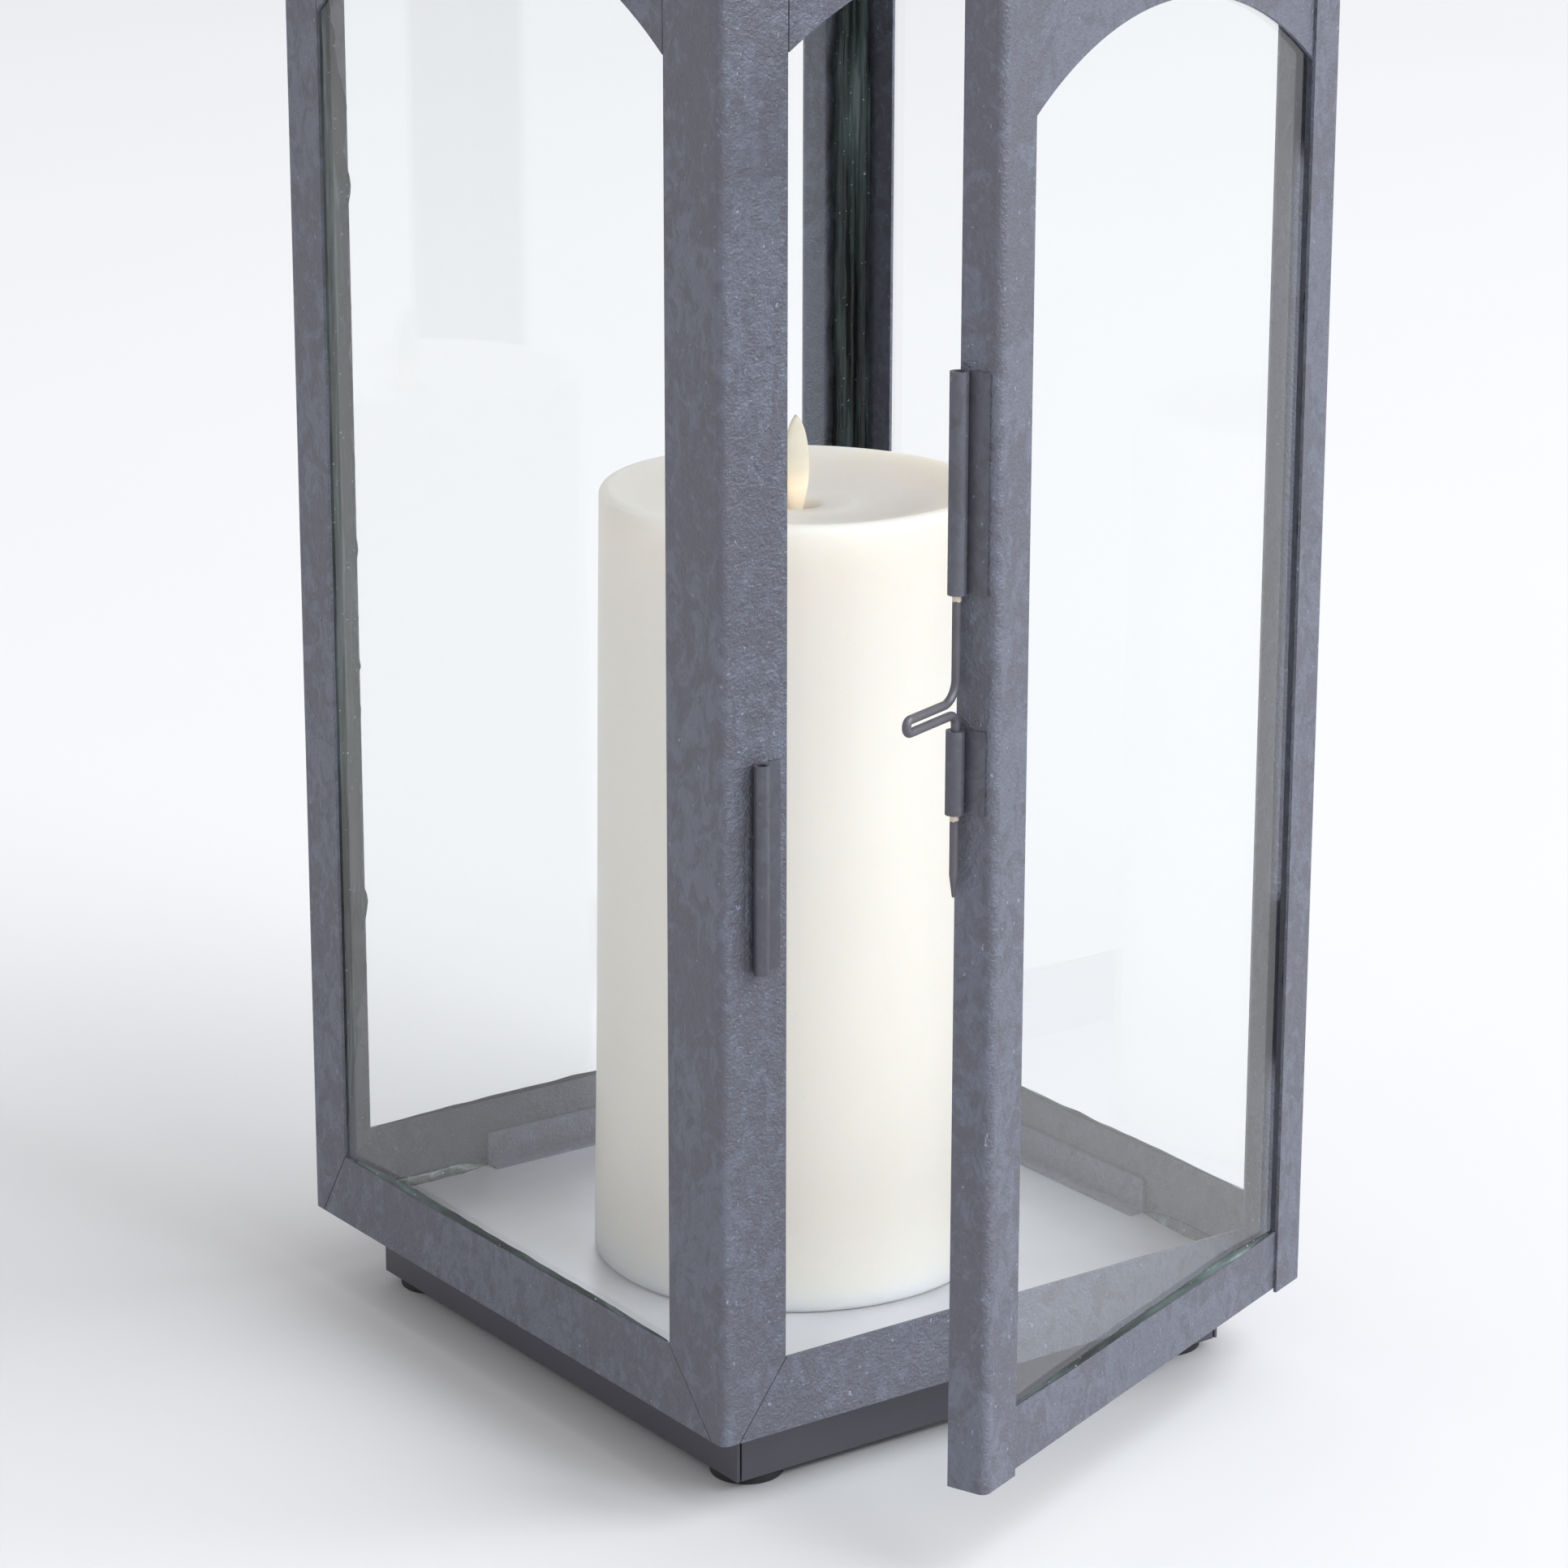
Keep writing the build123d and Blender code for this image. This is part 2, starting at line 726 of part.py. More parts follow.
# Latch bolt: one length of wire, straight in the guides, bent out between them into a thumb loop
lower_arm = frame_bottom + lower_guide_top + bolt_radius + loop_lower_bend + seam
upper_arm = lower_arm + loop_arm_gap
loop_end = bolt_x - loop_reach + bolt_radius
tip = frame_bottom + bolt_tip
with BuildPart() as latch_bolt:
    with BuildLine(door_front.offset(-bolt_y)) as bolt_path:
        FilletPolyline(
            (bolt_x, frame_bottom + bolt_top),
            (bolt_x, upper_arm),
            (loop_end, upper_arm),
            (loop_end, lower_arm),
            (bolt_x, lower_arm),
            (bolt_x, tip + point_length),
            radius=(loop_upper_bend, loop_turn, loop_turn, loop_lower_bend),
        )
    with BuildSketch(Plane(origin=bolt_path.line @ 0, z_dir=bolt_path.line % 0)):
        Circle(bolt_radius)
    sweep()
    with BuildSketch(door_plan.offset(tip + point_length)) as blunt_end:
        with Locations((bolt_x, bolt_y)):
            Circle(bolt_radius)
    with BuildSketch(door_plan.offset(tip)) as sharp_end:
        with Locations((bolt_x, bolt_y)):
            Circle(point_radius)
    loft([sharp_end.sketch.faces()[0], blunt_end.sketch.faces()[0]])
save(latch_bolt.part, "latch_bolt")

# Candle: a tapered wax shell, open below for its works, with a hollowed top and a well for the flame
candle_top = floor_top + candle_height
core_roof = floor_top + core_height
flame_base = candle_top - candle_dish_depth - candle_dish_fall
wire_height = flame_base - wire_drop
with BuildPart() as candle_wax:
    with BuildSketch(Plane.XZ):
        with BuildLine():
            Polyline(
                (core_radius, floor_top),
                (candle_base_radius, floor_top),
                (candle_top_radius, candle_top),
                (candle_dish_radius, candle_top),
                (candle_dish_radius - candle_dish_depth, candle_top - candle_dish_depth),
                (flame_well_radius, flame_base),
                (flame_well_radius, core_roof),
                (core_radius, core_roof),
                close=True,
            )
        make_face()
    revolve(axis=Axis.Z)
    rims = candle_wax.edges().filter_by(GeomType.CIRCLE).group_by(Axis.Z)[-1]
    fillet(rims.sort_by(SortBy.RADIUS)[-1], radius=candle_rim)
    fillet(
        candle_wax.edges().filter_by(GeomType.CIRCLE).group_by(Axis.Z)[0].sort_by(SortBy.RADIUS)[-1],
        radius=candle_foot_edge,
    )
save(candle_wax.part, "candle_wax")

# Inner sleeve: the cup that lines the wax
with BuildPart() as candle_sleeve:
    with BuildSketch(Plane.XY.offset(floor_top + cap_disc)):
        Circle(core_radius)
        Circle(core_radius - core_wall, mode=Mode.SUBTRACT)
    extrude(amount=core_height - cap_disc)
    with BuildSketch(Plane.XY.offset(core_roof - core_wall)):
        Circle(core_radius)
        Circle(flame_well_radius, mode=Mode.SUBTRACT)
    extrude(amount=core_wall)
save(candle_sleeve.part, "candle_sleeve")

# Flame: a flat tongue on a cross wire, with a tail that hangs down its well to a magnet
with BuildPart() as flame_tongue:
    with BuildSketch(Plane.XZ):
        with BuildLine():
            tail_side = Line(
                (tail_width / 2, wire_height - flame_tail),
                (tail_width / 2, wire_height + tail_rise),
            )
            swell = Spline(
                tail_side @ 1,
                (flame_width / 2, flame_base + flame_height * flame_belly),
                (flame_shoulder_width, flame_base + flame_height * flame_shoulder),
                (0, flame_base + flame_height),
                tangents=((0, 1), (-flame_taper, 1)),
            )
            Line(swell @ 1, (0, wire_height - flame_tail))
            Line((0, wire_height - flame_tail), tail_side @ 0)
        make_face()
        mirror(about=Plane.YZ)
    extrude(amount=flame_thickness / 2, both=True)
    with BuildSketch(Plane.YZ):
        with Locations((0, wire_height)):
            Circle(pivot_radius + running_gap)
    extrude(amount=tail_width, both=True, mode=Mode.SUBTRACT)
save(flame_tongue.part, "flame_tongue")

with BuildPart() as flame_magnet:
    with BuildSketch(Plane.XY.offset(wire_height - flame_tail - magnet_length)):
        Circle(magnet_radius)
    extrude(amount=magnet_length)
save(flame_magnet.part, "flame_magnet")

# Pivot wire across the well
with BuildPart() as flame_wire:
    with BuildSketch(Plane.YZ):
        with Locations((0, wire_height)):
            Circle(pivot_radius)
    extrude(amount=sqrt(flame_well_radius**2 - pivot_radius**2), both=True)
save(flame_wire.part, "flame_wire")

# Light and sway unit: a board under the well, with the coil that rocks the magnet and two lamps
board_height = core_roof - board_drop
with BuildPart() as sway_board:
    with BuildSketch(Plane.XY.offset(board_height)):
        Circle(core_radius - core_wall - seam)
        with PolarLocations(core_radius - core_wall, 4, start_angle=45):
            Circle(board_notch, mode=Mode.SUBTRACT)
    extrude(amount=board_thickness)
save(sway_board.part, "sway_board")

with BuildPart() as sway_coil:
    with BuildSketch(Plane.XY.offset(board_height + board_thickness)):
        Circle(coil_radius)
    extrude(amount=coil_height)
save(sway_coil.part, "sway_coil")

with BuildPart() as flame_lamps:
    with BuildSketch(Plane.XY.offset(board_height + board_thickness)):
        with Locations((0, -lamp_offset), (0, lamp_offset)):
            Circle(lamp_radius)
    extrude(amount=lamp_height)
    tops = flame_lamps.edges().filter_by(GeomType.CIRCLE).group_by(Axis.Z)[-1]
    fillet(tops, radius=lamp_round)
save(flame_lamps.part, "flame_lamps")

# Batteries side by side, in a holder that hangs on the base cap
battery_base = floor_top + cap_disc + battery_lift
with BuildPart() as batteries:
    for start, radius, length in (
        (battery_base, battery_radius, battery_length),
        (battery_base + battery_length, battery_button_radius, battery_button),
    ):
        with BuildSketch(Plane.XY.offset(start)):
            with Locations((-battery_radius - seam, 0), (battery_radius + seam, 0)):
                Circle(radius)
        extrude(amount=length)
save(batteries.part, "batteries")

pocket_length = 4 * (battery_radius + seam)
pocket_width = 2 * (battery_radius + seam)
with BuildPart() as battery_holder:
    with BuildSketch(Plane.XY.offset(floor_top + cap_disc)):
        SlotOverall(pocket_length + 2 * holder_wall, pocket_width + 2 * holder_wall)
    extrude(amount=holder_height)
    with BuildSketch(Plane.XY.offset(battery_base)):
        SlotOverall(pocket_length, pocket_width)
    extrude(amount=battery_length, mode=Mode.SUBTRACT)
save(battery_holder.part, "battery_holder")

# Base cap, with a slot for the switch
with BuildPart() as candle_base_cap:
    with BuildSketch(Plane.XY.offset(floor_top)):
        Circle(core_radius)
        with Locations((0, -switch_place)):
            Rectangle(
                switch_length + switch_travel + 2 * seam,
                switch_width + 2 * seam,
                mode=Mode.SUBTRACT,
            )
    extrude(amount=cap_disc)
save(candle_base_cap.part, "candle_base_cap")

with BuildPart() as candle_switch:
    with BuildSketch(Plane.XY.offset(floor_top + switch_recess)):
        with Locations((-switch_travel / 2, -switch_place)):
            Rectangle(switch_length, switch_width)
    extrude(amount=cap_disc)
    with BuildSketch(Plane.XY.offset(floor_top + cap_disc + seam)):
        with Locations((-switch_travel / 2, -switch_place)):
            Rectangle(switch_length + 2 * switch_travel, switch_width + 2 * switch_flange)
    extrude(amount=switch_flange_height)
save(candle_switch.part, "candle_switch")
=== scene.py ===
import json
import math

import bpy
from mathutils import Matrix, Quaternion, Vector, noise


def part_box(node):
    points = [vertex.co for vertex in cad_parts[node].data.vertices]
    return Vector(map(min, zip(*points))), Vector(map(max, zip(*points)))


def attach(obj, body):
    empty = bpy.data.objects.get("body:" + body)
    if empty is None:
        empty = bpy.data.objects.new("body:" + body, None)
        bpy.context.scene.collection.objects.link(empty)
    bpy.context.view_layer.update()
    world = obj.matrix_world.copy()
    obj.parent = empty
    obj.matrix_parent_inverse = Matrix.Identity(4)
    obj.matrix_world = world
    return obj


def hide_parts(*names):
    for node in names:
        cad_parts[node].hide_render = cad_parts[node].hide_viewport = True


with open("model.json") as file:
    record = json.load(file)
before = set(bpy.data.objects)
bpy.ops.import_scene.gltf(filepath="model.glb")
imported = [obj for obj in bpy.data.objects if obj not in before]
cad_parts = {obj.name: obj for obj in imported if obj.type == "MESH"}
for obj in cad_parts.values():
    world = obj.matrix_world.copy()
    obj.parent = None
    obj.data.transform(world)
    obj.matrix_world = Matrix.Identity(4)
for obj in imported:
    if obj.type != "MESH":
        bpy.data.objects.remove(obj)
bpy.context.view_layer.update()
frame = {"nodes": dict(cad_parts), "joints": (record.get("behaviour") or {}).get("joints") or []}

# Looks for the arched candle lantern. Metres, in the CAD frame: +Z up, the door side faces -Y.
# The sheet-metal body, glass, hinges and latch stay as the CAD made them and get materials here,
# and most get bevels. The wax, the flame and the silicone are modelled again in full.

MM = 0.001


# --- helpers -------------------------------------------------------------------------------


class Graph:
    """A material's node tree with short calls to add and join nodes."""

    def __init__(self, name):
        self.material = bpy.data.materials.new(name)
        self.material.use_nodes = True
        self.tree = self.material.node_tree
        self.tree.nodes.clear()
        self.output = self.tree.nodes.new("ShaderNodeOutputMaterial")

    def node(self, kind, inputs=None, **settings):
        made = self.tree.nodes.new(kind)
        for key, value in settings.items():
            setattr(made, key, value)
        for key, value in (inputs or {}).items():
            self.put(made.inputs[key], value)
        return made

    def put(self, socket, value):
        if isinstance(value, bpy.types.NodeSocket):
            self.tree.links.new(value, socket)
        else:
            socket.default_value = value

    def place(self, stretch=(1, 1, 1)):
        """Object coordinates, stretched along each axis."""
        coordinates = self.node("ShaderNodeTexCoord")
        mapping = self.node("ShaderNodeMapping", {"Vector": coordinates.outputs["Object"], "Scale": stretch})
        return mapping.outputs["Vector"]

    def height(self):
        """How high a point of the piece is, before its body moves."""
        coordinates = self.node("ShaderNodeTexCoord")
        return self.node("ShaderNodeSeparateXYZ", {"Vector": coordinates.outputs["Object"]}).outputs["Z"]

    def noise(self, place, scale, detail=2.0, roughness=0.5, distortion=0.0):
        made = self.node(
            "ShaderNodeTexNoise",
            {
                "Vector": place,
                "Scale": scale,
                "Detail": detail,
                "Roughness": roughness,
                "Distortion": distortion,
            },
        )
        return made.outputs["Fac"]

    def ramp(self, value, *stops):
        """Maps a value through (position, colour) stops; a plain number is a grey."""
        made = self.node("ShaderNodeValToRGB", {"Fac": value})
        elements = made.color_ramp.elements
        while len(elements) < len(stops):
            elements.new(1.0)
        for element, (position, colour) in zip(elements, stops):
            element.position = position
            element.color = (*colour, 1) if isinstance(colour, tuple) else (colour, colour, colour, 1)
        return made.outputs["Color"]

    def mix(self, factor, a, b):
        made = self.node("ShaderNodeMix", data_type="RGBA")
        for socket, value in zip((made.inputs[0], made.inputs[6], made.inputs[7]), (factor, a, b)):
            value = (*value, 1) if isinstance(value, tuple) and len(value) == 3 else value
            self.put(socket, value)
        return made.outputs[2]

    def math(self, operation, a, b=0.0, clamp=False):
        made = self.node("ShaderNodeMath", {0: a, 1: b}, operation=operation, use_clamp=clamp)
        return made.outputs[0]

    def bump(self, height, strength, distance):
        inputs = {"Height": height, "Strength": strength, "Distance": distance}
        return self.node("ShaderNodeBump", inputs).outputs["Normal"]

    def surface(self, **inputs):
        """The finished Principled surface. Underscores stand for spaces in the socket names."""
        made = self.node("ShaderNodeBsdfPrincipled", {k.replace("_", " "): v for k, v in inputs.items()})
        self.tree.links.new(made.outputs[0], self.output.inputs["Surface"])
        return self.material


def linear(red, green, blue):
    """A colour given as it looks on screen, 0 to 255, as the renderer's linear values."""
    def one(value):
        value /= 255
        return value / 12.92 if value <= 0.04045 else ((value + 0.055) / 1.055) ** 2.4
    return one(red), one(green), one(blue)


def dress(names, material):
    """Gives each CAD node one material."""
    for name in names:
        data = frame["nodes"][name].data
        data.materials.clear()
        data.materials.append(material)


def soften(names, width, segments=2, angle=35):
    """Rounds the edges of CAD nodes by a modifier."""
    for name in names:
        bevel = frame["nodes"][name].modifiers.new("edges", "BEVEL")
        bevel.width = width
        bevel.segments = segments
        bevel.limit_method = "ANGLE"
        bevel.angle_limit = math.radians(angle)
        bevel.harden_normals = True


def mesh_piece(name, points, faces, material, body, replaces=()):
    """A new smooth-shaded piece from points and faces, which rides on a body."""
    data = bpy.data.meshes.new(name)
    data.from_pydata(points, [], faces)
    data.materials.append(material)
    data.update()
    piece = bpy.data.objects.new(name, data)
    bpy.context.collection.objects.link(piece)
    data.polygons.foreach_set("use_smooth", [True] * len(data.polygons))
    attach(piece, body)
    if replaces:
        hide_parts(*replaces)
    return piece


def ring_faces(rings, count, closed_low=True, closed_high=True):
    """Faces that join rings of count points each, with one face over each closed end."""
    faces = []
    for ring in range(rings - 1):
        for step in range(count):
            following = (step + 1) % count
            low, high = ring * count, (ring + 1) * count
            faces.append((low + step, low + following, high + following, high + step))
    if closed_low:
        faces.append(tuple(reversed(range(count))))
    if closed_high:
        faces.append(tuple(range((rings - 1) * count, rings * count)))
    return faces


# --- materials -----------------------------------------------------------------------------


def patina(name, dark, light, contrast, grain, roughness=0.46):
    """Painted sheet with soft blotches, faint clouds, a fine orange peel and tiny flecks."""
    g = Graph(name)
    place = g.place((1, 1, 0.7))
    clouds = g.noise(place, 26, 3, 0.55, 0.4)
    flakes = g.noise(place, 190, 6, 0.70, 0.9)
    threads = g.noise(place, 420, 5, 0.65, 1.2)
    gate = g.math("ADD", g.math("MULTIPLY", clouds, 0.55), g.math("MULTIPLY", flakes, 0.75))
    blotch = g.ramp(gate, (0.620, 0.0), (0.675, 0.55), (0.72, 1.0), (0.79, 0.60))
    vein = g.ramp(threads, (0.50, 0.0), (0.62, 1.0))
    amount = g.math("ADD", g.math("MULTIPLY", blotch, contrast), g.math("MULTIPLY", vein, contrast * 0.35))
    colour = g.mix(amount, dark, light)
    colour = g.mix(g.ramp(clouds, (0.35, 0.0), (0.68, 0.30)), colour, tuple(c * 0.80 for c in dark))
    fleck = g.ramp(g.noise(place, 900, 1, 0.5), (0.74, 0.0), (0.78, 0.5))
    colour = g.mix(fleck, colour, tuple(min(1.0, c * 1.7) for c in light))
    even = g.place()
    peel = g.noise(even, 1500, 2, 0.55)
    ripple = g.noise(even, 420, 1, 0.5)
    height = g.math("ADD", peel, g.math("MULTIPLY", ripple, 0.8))
    gloss = g.math("ADD", g.math("MULTIPLY", blotch, -0.07), g.math("MULTIPLY", clouds, 0.10))
    return g.surface(
        Base_Color=colour,
        Roughness=g.math("ADD", gloss, roughness),
        Metallic=0.35,
        IOR=1.5,
        Normal=g.bump(height, 1.0, grain),
    )


def plain_paint(name, colour, roughness, grain=0.00002, metallic=0.0):
    """An even paint with soft tonal clouds and a fine texture."""
    g = Graph(name)
    place = g.place()
    clouds = g.noise(place, 40, 4, 0.6)
    spread = 0.12
    darker = tuple(c * (1 - spread) for c in colour)
    lighter = tuple(min(1.0, c * (1 + spread)) for c in colour)
    peel = g.noise(place, 1300, 2, 0.5)
    wear = g.math("ADD", g.math("MULTIPLY", clouds, 0.12), roughness - 0.06)
    return g.surface(
        Base_Color=g.mix(clouds, darker, lighter),
        Roughness=wear,
        Metallic=metallic,
        Normal=g.bump(peel, 0.9, grain),
    )


def clear_glass():
    """Sheet glass that lets light through to what it covers, and green where it is thick."""
    g = Graph("clear_glass")
    place = g.place()
    haze = g.ramp(g.noise(place, 55, 5, 0.7, 0.8), (0.45, 0.0), (0.9, 0.06))
    surface = g.node(
        "ShaderNodeBsdfPrincipled",
        {
            "Base Color": (0.985, 0.992, 0.99, 1),
            "Roughness": haze,
            "IOR": 1.45,
            "Transmission Weight": 1.0,
        },
    )
    path = g.node("ShaderNodeLightPath")
    passing = g.node("ShaderNodeBsdfTransparent", {"Color": (0.98, 0.985, 0.985, 1)})
    through = g.math("MAXIMUM", path.outputs["Is Shadow Ray"], path.outputs["Is Diffuse Ray"])
    mixed = g.node("ShaderNodeMixShader", {0: through, 1: surface.outputs[0], 2: passing.outputs[0]})
    g.tree.links.new(mixed.outputs[0], g.output.inputs["Surface"])
    return g.material


def wet_silicone(name, stretch, scale):
    """Dark, wet-looking sealant with green streaks along its run and pale bubbles."""
    g = Graph(name)
    place = g.place(stretch)
    streaks = g.noise(place, scale, 4, 0.62, 0.25)
    colour = g.ramp(
        streaks,
        (0.42, (0.007, 0.009, 0.009)),
        (0.53, (0.028, 0.042, 0.040)),
        (0.63, (0.07, 0.10, 0.096)),
        (0.73, (0.19, 0.24, 0.23)),
    )
    bubbles = g.ramp(g.noise(g.place(), 1100, 1), (0.735, 0.0), (0.77, 1.0))
    colour = g.mix(g.math("MULTIPLY", bubbles, 0.6), colour, (0.55, 0.60, 0.60))
    lumps = g.noise(place, 330, 3, 0.6)
    return g.surface(
        Base_Color=colour,
        Roughness=g.ramp(streaks, (0.3, 0.08), (0.8, 0.28)),
        IOR=1.42,
        Normal=g.bump(lumps, 0.9, 0.00010),
    )


def wax():
    """Ivory wax, faintly clouded, that light sinks into."""
    g = Graph("ivory_wax")
    place = g.place((1, 1, 0.25))
    clouds = g.noise(place, 38, 4, 0.6, 0.5)
    colour = g.mix(clouds, linear(228, 222, 212), linear(234, 229, 221))
    pits = g.ramp(g.noise(g.place(), 800, 1), (0.76, 0.0), (0.79, 1.0))
    colour = g.mix(g.math("MULTIPLY", pits, 0.18), colour, linear(200, 188, 160))
    waves = g.noise(g.place(), 60, 3, 0.5)
    return g.surface(
        Base_Color=colour,
        Roughness=g.ramp(clouds, (0.3, 0.38), (0.75, 0.52)),
        IOR=1.44,
        Subsurface_Weight=0.8,
        Subsurface_Radius=(0.020, 0.016, 0.011),
        Subsurface_Scale=1.0,
        Normal=g.bump(waves, 0.35, 0.0006),
    )


def flame_shell(base_height, tip_height):
    """A milky shell, lit warm from below and paler towards its tip."""
    g = Graph("flame_shell")
    height = g.height()
    span = tip_height - base_height
    share = g.math("DIVIDE", g.math("SUBTRACT", height, base_height), span, clamp=True)
    glow = g.ramp(
        share,
        (0.0, (0.50, 0.30, 0.14)),
        (0.18, (1.0, 0.68, 0.32)),
        (0.38, (0.26, 0.18, 0.08)),
        (0.56, (0.0, 0.0, 0.0)),
    )
    milk = g.noise(g.place(), 260, 2)
    return g.surface(
        Base_Color=g.mix(milk, linear(228, 220, 200), linear(236, 230, 214)),
        Roughness=g.math("ADD", g.math("MULTIPLY", milk, 0.1), 0.38),
        Subsurface_Weight=0.6,
        Subsurface_Radius=(0.006, 0.004, 0.002),
        Emission_Color=glow,
        Emission_Strength=0.34,
    )


def worn_wire(name, paint, ends):
    """Painted wire, rubbed to bare beige metal close to where it leaves each guide."""
    g = Graph(name)
    place = g.place()
    height = g.height()
    scuff_reach = 2.6 * MM
    rubbed = None
    for end in ends:
        away = g.math("ABSOLUTE", g.math("SUBTRACT", height, end))
        near = g.math("SUBTRACT", 1.0, g.math("DIVIDE", away, scuff_reach))
        rubbed = near if rubbed is None else g.math("MAXIMUM", rubbed, near)
    grit = g.noise(g.place((1, 1, 0.3)), 900, 4, 0.7)
    worn = g.math("ADD", g.math("MULTIPLY", rubbed, 0.9), g.math("MULTIPLY", grit, 0.5))
    bare = g.ramp(worn, (0.62, 0.0), (0.70, 1.0))
    tone = g.noise(place, 160, 4, 0.6)
    colour = g.mix(tone, tuple(c * 0.75 for c in paint), tuple(c * 1.35 for c in paint))
    colour = g.mix(bare, colour, linear(205, 190, 172))
    return g.surface(
        Base_Color=colour,
        Roughness=g.math("ADD", g.math("MULTIPLY", tone, 0.18), 0.34),
        Metallic=0.25,
        Normal=g.bump(g.noise(place, 1200, 3, 0.6), 1.0, 0.00006),
    )


def moulded(name, colour, roughness, metallic=0.0):
    """Small inner pieces: one colour with a slight mottle and a fine skin."""
    g = Graph(name)
    place = g.place()
    mottle = g.noise(place, 180, 3, 0.6)
    return g.surface(
        Base_Color=g.mix(mottle, tuple(c * 0.88 for c in colour), tuple(min(1.0, c * 1.08) for c in colour)),
        Roughness=g.math("ADD", g.math("MULTIPLY", mottle, 0.12), roughness),
        Metallic=metallic,
        Normal=g.bump(g.noise(place, 1400, 2), 0.6, 0.00003),
    )


PATINA_DARK = linear(96, 96, 106)
PATINA_LIGHT = linear(126, 136, 154)

sheet_metal = patina("patinated_sheet", PATINA_DARK, PATINA_LIGHT, 0.34, 0.00040)
floor_metal = plain_paint("floor_sheet", linear(206, 207, 212), 0.34, metallic=0.55)
charcoal = plain_paint("charcoal_sheet", linear(72, 71, 79), 0.40)
rod_paint = plain_paint("handle_rod", linear(84, 84, 92), 0.42, grain=0.00006)
rolled = patina("rolled_sheet", linear(84, 83, 92), linear(108, 113, 125), 0.35, 0.00006, roughness=0.36)
glass = clear_glass()
silicone = wet_silicone("wet_silicone", (1, 1, 0.06), 300)
rail_silicone = wet_silicone("rail_silicone", (0.12, 0.12, 1), 150)
rubber = plain_paint("foot_rubber", (0.016, 0.016, 0.017), 0.72, grain=0.00008)
ivory = wax()
bright = moulded("bright_metal", (0.62, 0.62, 0.63), 0.25, metallic=1.0)
white_plastic = moulded("white_plastic", (0.78, 0.77, 0.73), 0.42)
black_plastic = moulded("black_plastic", (0.02, 0.02, 0.022), 0.45)
board = moulded("board", (0.02, 0.13, 0.05), 0.35)
copper = moulded("copper", (0.75, 0.36, 0.18), 0.3, metallic=1.0)
lens = moulded("lamp_lens", (0.95, 0.78, 0.42), 0.15)
battery_case = moulded("battery_case", (0.06, 0.06, 0.075), 0.28)

POSTS = ["front_post", "right_post", "back_post", "left_post"]
RAILS = ["front_rail", "right_rail", "back_rail", "left_rail"]
ARCHES = ["front_arch", "right_arch", "back_arch", "left_arch"]
CLIPS = ["right_clip", "left_clip", "back_clip"]
ROOF = ["top_ring", "roof_plate", "roof", "vent_collar", "vent_deck", "vent_cap", "handle_ears"]
DOOR = ["latch_stile", "hinge_stile", "door_rail", "door_arch"]
ROLLED = ["body_hinge_leaves", "door_hinge_leaves", "latch_keeper", "lower_latch_guide", "upper_latch_guide"]
GLASS = ["right_glass", "back_glass", "left_glass", "door_glass"]

dress(POSTS + RAILS + ARCHES + CLIPS + ROOF + DOOR, sheet_metal)
dress(["floor_plate"], floor_metal)
dress(["plinth"], charcoal)
dress(["handle", "handle_rivets"], rod_paint)
dress(ROLLED, rolled)
dress(GLASS, glass)
dress(["feet"], rubber)
dress(["hinge_pins", "flame_magnet", "flame_wire"], bright)
dress(["candle_sleeve", "battery_holder", "candle_base_cap"], white_plastic)
dress(["candle_switch"], black_plastic)
dress(["sway_board"], board)
dress(["sway_coil"], copper)
dress(["flame_lamps"], lens)
dress(["batteries"], battery_case)

soften(RAILS + ARCHES + CLIPS + DOOR[2:], 0.22 * MM)
soften(["floor_plate", "plinth"], 0.12 * MM, 1)
soften(POSTS + DOOR[:2], 0.2 * MM)
soften(["roof", "roof_plate", "vent_cap", "vent_collar", "vent_deck", "top_ring", "handle_ears"], 0.25 * MM)
soften(["handle_rivets"], 0.5 * MM, 3)
soften(GLASS, 0.3 * MM, 1)


# --- candle --------------------------------------------------------------------------------

wax_low, wax_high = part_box("candle_wax")
flame_low, flame_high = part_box("flame_tongue")
WAX_TOP = wax_high.z
WAX_BASE = wax_low.z
WAX_RADIUS = wax_high.x
WAX_TOP_RADIUS = 48.2 * MM
WAX_RIM_WANDER = 0.55 * MM
WAX_RIM_DROP = 0.35 * MM
BORE_RADIUS = 36 * MM
CORE_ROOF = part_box("candle_sleeve")[1].z
WELL_RADIUS = 7 * MM
DISH_FLOOR = WAX_TOP - 5.5 * MM


def rim_wave(x, y):
    """How far the rim and the melted top are lifted in the direction x, y."""
    return WAX_RIM_WANDER * noise.noise(Vector((x * 1.3, y * 1.3, 5.0))) - WAX_RIM_DROP


